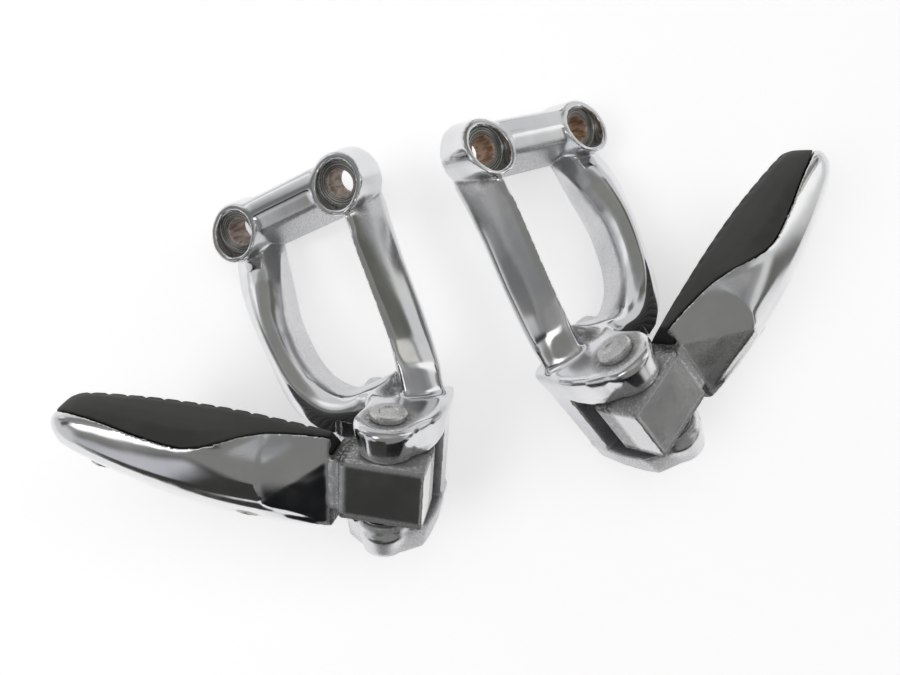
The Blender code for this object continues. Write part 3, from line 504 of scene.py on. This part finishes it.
def finish_piece(made, material, node, body):
    made.data.materials.clear()
    made.data.materials.append(material)
    made.data.shade_smooth()
    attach(made, body)
    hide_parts(node)
    return made


# Shader graphs

class Graph:
    """A node material, with a short way to add and wire its nodes."""

    def __init__(self, name):
        self.material = bpy.data.materials.new(name)
        self.material.use_nodes = True
        self.tree = self.material.node_tree
        self.shader = self.tree.nodes["Principled BSDF"]

    def node(self, kind, inputs=None, **settings):
        made = self.tree.nodes.new("ShaderNode" + kind)
        for key, value in settings.items():
            setattr(made, key, value)
        for key, value in (inputs or {}).items():
            self.give(made.inputs[key], value)
        return made

    def give(self, socket, value):
        if isinstance(value, bpy.types.NodeSocket):
            self.tree.links.new(value, socket)
        elif isinstance(value, tuple) and socket.type == "RGBA":
            socket.default_value = (*value, 1.0)
        else:
            socket.default_value = value

    def set(self, **inputs):
        for key, value in inputs.items():
            self.give(self.shader.inputs[key.replace("_", " ")], value)

    def local(self):
        return self.node("Attribute", attribute_name="local").outputs["Vector"]

    def value(self, name):
        return self.node("Attribute", attribute_name=name).outputs["Fac"]

    def math(self, operation, a, b=0.0, clamp=False):
        return self.node("Math", {0: a, 1: b}, operation=operation, use_clamp=clamp).outputs[0]

    def noise(self, scale, detail=2.0, rough=0.5, stretch=(1, 1, 1), shift=(0, 0, 0)):
        place = self.node("Mapping", {"Vector": self.local(), "Scale": stretch, "Location": shift})
        inputs = {"Vector": place.outputs[0], "Scale": scale, "Detail": detail, "Roughness": rough}
        return self.node("TexNoise", inputs).outputs["Fac"]

    def span(self, value, low, high, to_low=0.0, to_high=1.0):
        inputs = {0: value, 1: low, 2: high, 3: to_low, 4: to_high}
        return self.node("MapRange", inputs, interpolation_type="SMOOTHSTEP").outputs[0]

    def blend(self, share, a, b):
        made = self.node("Mix", data_type="RGBA")
        self.give(made.inputs["Factor"], share)
        for key, value in ((6, a), (7, b)):
            self.give(made.inputs[key], value)
        return made.outputs[2]

    def bump(self, height, strength, distance, normal=None):
        inputs = {"Height": height, "Strength": strength, "Distance": distance}
        if normal is not None:
            inputs["Normal"] = normal
        return self.node("Bump", inputs).outputs[0]


def chrome(name, shift, stain, speckled):
    """Polished, hazed casting metal with painted shade in its hollows, corners and counterbores, and dull as-cast
    skin.
    """
    g = Graph(name)
    cloud = g.noise(45.0, 3.0, 0.6, shift=shift)
    fine = g.noise(900.0, 3.0, 0.6, shift=shift)
    speck = g.noise(2600.0, 2.0, 0.5, shift=shift)
    streak = g.noise(700.0, 3.0, 0.6, stretch=(1, 0.25, 1), shift=shift)
    cast = g.value("cast")
    bore = g.value("bore")
    satin = g.math("MULTIPLY", g.value("satin"), speckled)
    # Painted shade: near-black colour in concave hollows, in corners and between parts, broken up by noise
    shading_noise = g.span(g.noise(420.0, 4.0, 0.65, shift=shift), 0.36, 0.60)
    painted_shading = g.math("MULTIPLY", g.value("hollow_shade"), shading_noise, clamp=True)
    painted_spot_shade = g.math("MULTIPLY", g.value("painted_spot_shade"), g.span(fine, 0.30, 0.55, 0.4, 1.0))
    painted_shading = g.math("MAXIMUM", painted_shading, painted_spot_shade)
    rust = g.value("rust")
    place = g.node("SeparateXYZ", {0: g.local()}).outputs
    out = g.math("SUBTRACT", g.math("ABSOLUTE", place["X"]), BOLT_X)
    radius = g.math("SQRT", g.math("ADD", g.math("POWER", out, 2.0), g.math("POWER", place["Z"], 2.0)))
    rings = g.math("SINE", g.math("MULTIPLY", g.math("ADD", radius, place["Y"]), RING_WAVES))
    rings = g.math("MULTIPLY", g.span(rings, -1.0, 1.0), bore)
    colour = g.blend(g.span(cloud, 0.35, 0.65), (0.70, 0.715, 0.73), (0.78, 0.785, 0.79))
    colour = g.blend(g.math("MULTIPLY", cast, g.span(speck, 0.3, 0.7)), colour, (0.40, 0.405, 0.42))
    colour = g.blend(g.math("MULTIPLY", satin, g.span(speck, 0.45, 0.65)), colour, (0.52, 0.52, 0.51))
    # Painted shade: the counterbores are darkened to near black, with the turned rings as lighter and darker bands
    colour = g.blend(bore, colour, g.blend(rings, (0.10, 0.10, 0.095), (0.30, 0.295, 0.28)))
    # The painted shade's near-black colour
    colour = g.blend(g.math("MULTIPLY", painted_shading, 0.95), colour, (0.045, 0.042, 0.037))
    dark, pale = stain
    colour = g.blend(rust, colour, g.blend(g.span(streak, 0.38, 0.60), dark, pale))
    rough = g.span(cloud, 0.3, 0.7, 0.06, 0.12)
    rough = g.math("ADD", rough, g.math("MULTIPLY", cast, 0.30))
    rough = g.math("ADD", rough, g.math("MULTIPLY", satin, 0.12))
    rough = g.math("ADD", rough, g.math("MULTIPLY", bore, 0.16))
    rough = g.math("ADD", rough, g.math("MULTIPLY", g.value("scuff"), 0.30))
    rough = g.math("ADD", rough, g.math("MULTIPLY", painted_shading, 0.35))
    rough = g.math("ADD", rough, g.math("MULTIPLY", rust, 0.45), clamp=True)
    metal = g.math("SUBTRACT", 1.0, g.math("MULTIPLY", painted_shading, 0.85), clamp=True)
    metal = g.math("SUBTRACT", metal, g.math("MULTIPLY", rust, 0.75), clamp=True)
    waves = g.bump(g.noise(60.0, 2.0, 0.5, shift=shift), 0.12, 0.0006)
    pitted = g.math("ADD", g.math("MULTIPLY", satin, 0.45), 0.05)
    dents = g.math("MULTIPLY", speck, g.math("ADD", cast, pitted))
    grain = g.bump(dents, 0.35, 0.00025, waves)
    turned = g.bump(rings, 0.25, 0.0002, grain)
    g.set(Base_Color=colour, Roughness=rough, Metallic=metal, Normal=turned)
    return g.material


def rubber(name, shift):
    g = Graph(name)
    fine = g.noise(1500.0, 4.0, 0.6, shift=shift)
    cloud = g.noise(70.0, 3.0, 0.55, shift=shift)
    colour = g.blend(g.span(cloud, 0.35, 0.7), (0.034, 0.034, 0.031), (0.050, 0.050, 0.046))
    dust = g.math("MULTIPLY", g.value("edge"), g.span(fine, 0.45, 0.7))
    colour = g.blend(g.math("MULTIPLY", dust, 0.5), colour, (0.14, 0.14, 0.13))
    rough = g.span(cloud, 0.3, 0.7, 0.55, 0.68)
    g.set(Base_Color=colour, Roughness=rough, Normal=g.bump(fine, 0.25, 0.0002))
    g.shader.inputs["Specular IOR Level"].default_value = 0.35
    return g.material


def steel(name, colour, rough):
    """Bare, worn steel of pins, screws and washers."""
    g = Graph(name)
    grain = g.noise(1400.0, 3.0, 0.6)
    cloud = g.noise(160.0, 3.0, 0.6)
    dark = tuple(c * 0.75 for c in colour)
    g.set(
        Base_Color=g.blend(g.span(cloud, 0.35, 0.7), dark, colour),
        Roughness=g.span(grain, 0.3, 0.7, rough * 0.8, rough * 1.25),
        Normal=g.bump(grain, 0.2, 0.0002),
    )
    g.shader.inputs["Metallic"].default_value = 1.0
    return g.material


# Pieces

def bracket_marks(made, side):
    """Attributes of a bracket: dull cast skin, rust in the bolt holes, painted shade under the pin head, in the
    jaws and in the corners, and scuffs.
    """
    mesh = made.data
    points = read_points(mesh)
    local = to_bracket(points, side)
    store(mesh, "local", local)
    x, y, z = local.T
    radius = np.minimum(np.hypot(x - BOLT_X, z), np.hypot(x + BOLT_X, z))
    rust = ramp(radius, *RUST_RADIUS) * ramp(y, *RUST_FRONT)
    store(mesh, "rust", rust)
    # The counterbores: darkened by painted shade in the chrome, and marked with turned rings
    store(mesh, "bore", ramp(radius, *BORE_RADIUS) * (1 - rust))
    hinge = to_peg(points, side)
    around = np.hypot(hinge[:, 0], hinge[:, 1])
    height = hinge[:, 2]
    # Painted reflection and shade: a dark ring on the ear under the pin head, then painted shade in the jaws
    # between the ears and in the leg corners
    halo = ramp(around, *HALO_RADIUS) * ramp(height, *HALO_HEIGHT)
    jaws = ramp(around, *JAW_RADIUS) * ramp(np.abs(height), *JAW_HEIGHT)
    joins = np.zeros(len(points))
    for spot in PAINTED_SHADE_SPOTS:
        away = np.linalg.norm(local - np.array(spot), axis=1)
        joins = np.maximum(joins, ramp(away, *JOIN_RADIUS))
    store(mesh, "painted_spot_shade", np.clip(halo * 0.75 + jaws * 0.6 + joins * 0.8, 0, 1))
    w = y * math.sin(LOOP_LEAN) - z * math.cos(LOOP_LEAN)
    h = y * math.cos(LOOP_LEAN) + z * math.sin(LOOP_LEAN)
    inside = ramp(np.abs(x - LOOP_MIDDLE), *LOOP_REACH) * ramp(w, *LOOP_TOP) * ramp(h, *LOOP_FRONT)
    under = ramp(z, *BAR_UNDERSIDE) * ramp(z, *BAR_FOOT) * ramp(np.abs(x), *BAR_REACH)
    lower = ramp(height, *LOWER_EAR_TOP) * ramp(around, *LOWER_EAR_REACH)
    store(mesh, "cast", np.clip(inside * 0.7 + under * 0.9 + lower * 0.35, 0, 1))
    ear = ramp(around, *UPPER_EAR_REACH) * ramp(height, *UPPER_EAR_UNDERSIDE)
    store(mesh, "satin", ear * 0.15)
    store(mesh, "scuff", ear * 0.20)


def peg_marks(made, side):
    """Attributes of a peg: satin hinge block and root facet, painted shade at the hinge, scuffed seam."""
    mesh = made.data
    points = read_points(mesh)
    local = to_peg(points, side)
    store(mesh, "local", local)
    x, y, z = local.T
    none = np.zeros(len(points))
    store(mesh, "rust", none)
    store(mesh, "bore", none)
    # Painted shade on the hinge block's neck, top, underside and back, which sit between the ears
    root = ramp(x, *ROOT_END)
    neck = root * ramp(x, *NECK_START)
    top = root * ramp(z, *BLOCK_TOP)
    under = root * ramp(z, *BLOCK_UNDERSIDE)
    back = root * ramp(y, *BLOCK_BACK)
    store(mesh, "painted_spot_shade", np.clip(neck * 0.5 + top * 0.65 + under * 0.8 + back * 0.5, 0, 1))
    store(mesh, "cast", none)
    block = ramp(x, *BLOCK_END)
    share = (x - FACET_TOP[0]) / (FACET_END[0] - FACET_TOP[0])
    crease = FACET_TOP[2] + (FACET_END[2] - FACET_TOP[2]) * share
    facet = ramp(x, *FACET_START) * ramp(x, *FACET_STOP) * ramp(z, crease + CREASE_WIDTH, crease)
    store(mesh, "satin", np.clip(block + facet, 0, 1))
    seam = ramp(np.linalg.norm(local - np.array(SEAM_SCUFF), axis=1), *SEAM_REACH)
    tip = ramp(x, *TIP_REACH)
    store(mesh, "scuff", np.clip(seam * 0.8 + tip * 0.5 + 0.05, 0, 1))


def small_marks(made, side):
    store(made.data, "local", to_peg(read_points(made.data), side))


# Stains in the bolt holes, dark and pale, and how strongly a side's satin faces are speckled
PALE_STAIN = ((0.26, 0.20, 0.16), (0.56, 0.47, 0.40))
RUST_STAIN = ((0.24, 0.13, 0.07), (0.52, 0.36, 0.24))
CHROME = {
    "left": chrome("cast_chrome_left", (0, 0, 0), PALE_STAIN, 0.12),
    "right": chrome("cast_chrome_right", (3, 1, 2), RUST_STAIN, 1.0),
}
RUBBER = {"left": rubber("tread_rubber_left", (0, 0, 0)), "right": rubber("tread_rubber_right", (2, 3, 1))}
STEEL = {
    "pivot_pin": steel("pin_steel", (0.74, 0.74, 0.73), 0.30),
    "pin_washer": steel("washer_steel", (0.50, 0.50, 0.49), 0.36),
    "pin_clip": steel("clip_steel", (0.20, 0.20, 0.20), 0.42),
    "wave_washer": steel("spring_washer_steel", (0.45, 0.43, 0.40), 0.36),
    "pad_plate": steel("plate_steel", (0.40, 0.40, 0.41), 0.45),
    "pad_screw_inner": steel("screw_steel_inner", (0.50, 0.48, 0.45), 0.32),
    "pad_screw_outer": steel("screw_steel_outer", (0.50, 0.48, 0.45), 0.32),
    "detent_ball": steel("ball_steel", (0.60, 0.60, 0.61), 0.16),
    "detent_spring": steel("spring_steel", (0.42, 0.42, 0.43), 0.34),
}
BODY_OF = {node: body for body, nodes in frame["record"]["behaviour"]["bodies"].items() for node in nodes}

def dress(kind, name, rounding, crease, back, forth, marks, materials):
    """Polish one side's piece, mirror it for the other side and finish both."""
    left, left_normals = polished(kind + "_left", name + "_left", KEPT[kind], rounding, crease)
    right, right_normals = placed_twin(left, name + "_right", left_normals, back, forth)
    for side, made, normals in (("left", left, left_normals), ("right", right, right_normals)):
        bend = curvature(made.data, 2)
        store(made.data, "edge", ramp(bend, 0.25, 0.9))
        # Concave places, which the chrome darkens as painted shade
        store(made.data, "hollow_shade", ramp(-bend, 0.15, 0.8))
        marks(made, side)
        node = kind + "_" + side
        finish_piece(made, materials[side], node, BODY_OF[node])
        made.data.normals_split_custom_set_from_vertices(normals.tolist())


CREASE = math.radians(16)
dress("bracket", "bracket_casting", 10, CREASE, to_bracket, from_bracket, bracket_marks, CHROME)
dress("peg_body", "peg_casting", 8, CREASE, to_peg, from_peg, peg_marks, CHROME)
dress("rubber_pad", "tread_rubber", 8, CREASE, to_peg, from_peg, peg_marks, RUBBER)

for side in SIDES:
    for kind, material in STEEL.items():
        node = kind + "_" + side
        made = copied(node, kind + "_worn_" + side)
        small_marks(made, side)
        made.data.shade_smooth()
        made.data.set_sharp_from_angle(angle=math.radians(32))
        made.data.materials.append(material)
        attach(made, BODY_OF[node])
        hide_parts(node)


# Floor, light and camera

def add_floor():
    """A white table that ends in front of the pair and keeps its soft shadows."""
    mesh = bpy.data.meshes.new("table")
    far = 3.0
    corners = [(-far, TABLE_FRONT, 0), (far, TABLE_FRONT, 0), (far, far, 0), (-far, far, 0)]
    mesh.from_pydata(corners, [], [(0, 1, 2, 3)])
    table = bpy.data.objects.new("table", mesh)
    bpy.context.scene.collection.objects.link(table)
    g = Graph("table_white")
    g.set(Base_Color=(0.90, 0.89, 0.90), Roughness=0.9)
    g.shader.inputs["Specular IOR Level"].default_value = 0.0
    glow = g.node("Emission", {"Color": (1.0, 1.0, 1.0), "Strength": TABLE_GLOW})
    path = g.node("LightPath")
    seen = g.math("MAXIMUM", path.outputs["Is Camera Ray"], path.outputs["Is Glossy Ray"])
    both = g.node("AddShader", {0: g.shader.outputs[0], 1: glow.outputs[0]})
    mixed = g.node("MixShader", {0: seen, 1: g.shader.outputs[0], 2: both.outputs[0]})
    output = g.tree.nodes["Material Output"]
    g.tree.links.new(mixed.outputs[0], output.inputs["Surface"])
    mesh.materials.append(g.material)


def add_lamp(name, azimuth, elevation, distance, size, strength):
    """A soft rectangular lamp that faces the pair and isn't mirrored; strength is its brightness."""
    lamp = bpy.data.lights.new(name, "AREA")
    lamp.shape = "RECTANGLE"
    lamp.size, lamp.size_y = size
    lamp.energy = strength * math.pi * size[0] * size[1]
    made = bpy.data.objects.new(name, lamp)
    made.visible_glossy = False
    bpy.context.scene.collection.objects.link(made)
    a, e = math.radians(azimuth), math.radians(elevation)
    away = Vector((math.sin(a) * math.cos(e), math.cos(a) * math.cos(e), math.sin(e)))
    made.location = away * distance
    made.rotation_euler = away.to_track_quat("Z", "Y").to_euler()


# The room that the polish mirrors: brightness by height, then areas that differ from it,
# each with its middle and half widths in degrees, its brightness and its tint
ROOM_HEIGHTS = ((-10, 0.80), (0, 0.75), (24, 0.72), (34, 0.34), (46, 0.26), (62, 0.34), (90, 0.50))
ROOM_AREAS = (
    # azimuth, elevation, half azimuth, half elevation, brightness, tint
    (-4, 52, 66, 12, 0.26, (1.0, 0.99, 0.93)),
    (178, 46, 54, 22, 0.25, (1.0, 1.0, 0.95)),
    (150, 22, 32, 22, 0.25, (1.0, 1.0, 0.95)),
    (158, -12, 30, 22, 0.010, (0.9, 1.0, 1.05)),
    (-155, -2, 22, 31, 0.048, (1.0, 1.0, 0.93)),
    (-118, 51, 15, 11, 1.9, (1.0, 1.0, 1.0)),
    (-105, 32, 7, 14, 0.06, (1.0, 1.0, 1.05)),
    (-84, 24, 9, 12, 0.20, (1.0, 1.0, 1.0)),
    (-139, 17, 7, 9, 0.60, (1.0, 1.0, 1.05)),
    (72, 30, 9, 18, 1.15, (1.0, 1.0, 0.98)),
    (34, 29, 13, 7, 0.14, (1.0, 0.98, 0.88)),
    (53, 43, 7, 6, 0.75, (1.0, 0.98, 0.92)),
    (100, 2, 14, 14, 0.15, (1.0, 0.98, 0.92)),
    (-62, 20, 5, 10, 1.1, (1.0, 1.0, 1.0)),
    (12, 8, 9, 7, 0.20, (0.95, 1.0, 1.05)),
)


def add_world():
    """A room with pale walls, a dim ceiling, two windows and a dark side near the lens."""
    world = bpy.data.worlds.new("studio")
    bpy.context.scene.world = world
    world.use_nodes = True
    tree = world.node_tree
    tree.nodes.clear()

    def node(kind, inputs=None, **settings):
        made = tree.nodes.new("ShaderNode" + kind)
        for key, value in settings.items():
            setattr(made, key, value)
        for key, value in (inputs or {}).items():
            if isinstance(value, bpy.types.NodeSocket):
                tree.links.new(value, made.inputs[key])
            else:
                made.inputs[key].default_value = value
        return made

    def calc(operation, a, b=0.0):
        return node("Math", {0: a, 1: b}, operation=operation).outputs[0]

    def window(angle, half):
        inputs = {0: calc("ABSOLUTE", angle), 1: half + ROOM_SOFT, 2: max(half - ROOM_SOFT, 0)}
        return node("MapRange", inputs, interpolation_type="SMOOTHSTEP").outputs[0]

    way = node("TexCoord").outputs["Generated"]
    rise = calc("ARCSINE", node("SeparateXYZ", {0: way}).outputs["Z"])
    rise = calc("MULTIPLY", rise, 180 / math.pi)
    level = ROOM_HEIGHTS[0][1]
    for (low, _), (high, value) in zip(ROOM_HEIGHTS, ROOM_HEIGHTS[1:]):
        share = node("MapRange", {0: rise, 1: low, 2: high}, interpolation_type="SMOOTHSTEP").outputs[0]
        level = node("Mix", {0: share, 2: level, 3: value}, data_type="FLOAT").outputs[0]
    colour = node("CombineColor", {0: level, 1: level, 2: level}).outputs[0]
    for azimuth, elevation, half_azimuth, half_elevation, value, tint in ROOM_AREAS:
        inputs = {"Vector": way, "Angle": math.radians(azimuth)}
        turned = node("VectorRotate", inputs, rotation_type="Z_AXIS")
        parts = node("SeparateXYZ", {0: turned.outputs[0]}).outputs
        side = calc("MULTIPLY", calc("ARCTAN2", parts["X"], parts["Y"]), 180 / math.pi)
        height = calc("SUBTRACT", rise, elevation)
        share = calc("MULTIPLY", window(side, half_azimuth), window(height, half_elevation))
        mix = node("Mix", data_type="RGBA")
        tree.links.new(share, mix.inputs[0])
        tree.links.new(colour, mix.inputs[6])
        mix.inputs[7].default_value = (*[value * c for c in tint], 1.0)
        colour = mix.outputs[2]
    path = node("LightPath")
    shown = node("Mix", data_type="RGBA")
    tree.links.new(path.outputs["Is Camera Ray"], shown.inputs[0])
    tree.links.new(colour, shown.inputs[6])
    shown.inputs[7].default_value = (1.0, 1.0, 1.0, 1.0)
    back = node("Background", {"Color": shown.outputs[2], "Strength": 1.0})
    out = node("OutputWorld")
    tree.links.new(back.outputs[0], out.inputs["Surface"])


def add_camera():
    camera = bpy.data.cameras.new("camera")
    camera.lens = LENS_MM
    camera.sensor_width = 36.0
    camera.sensor_fit = "HORIZONTAL"
    camera.clip_start = 0.01
    made = bpy.data.objects.new("camera", camera)
    made.location = PIN["left"] + Vector(CAMERA_FROM_PIN)
    made.rotation_euler = (CAMERA_TILT, 0, 0)
    bpy.context.scene.collection.objects.link(made)
    bpy.context.scene.camera = made


add_floor()
add_lamp("ceiling", 0, 80, 1.2, (1.6, 1.2), 0.62)
add_lamp("window_left", -118, 50, 1.0, (0.50, 0.36), 2.0)
add_world()
add_camera()
bpy.context.scene.view_settings.view_transform = "Standard"
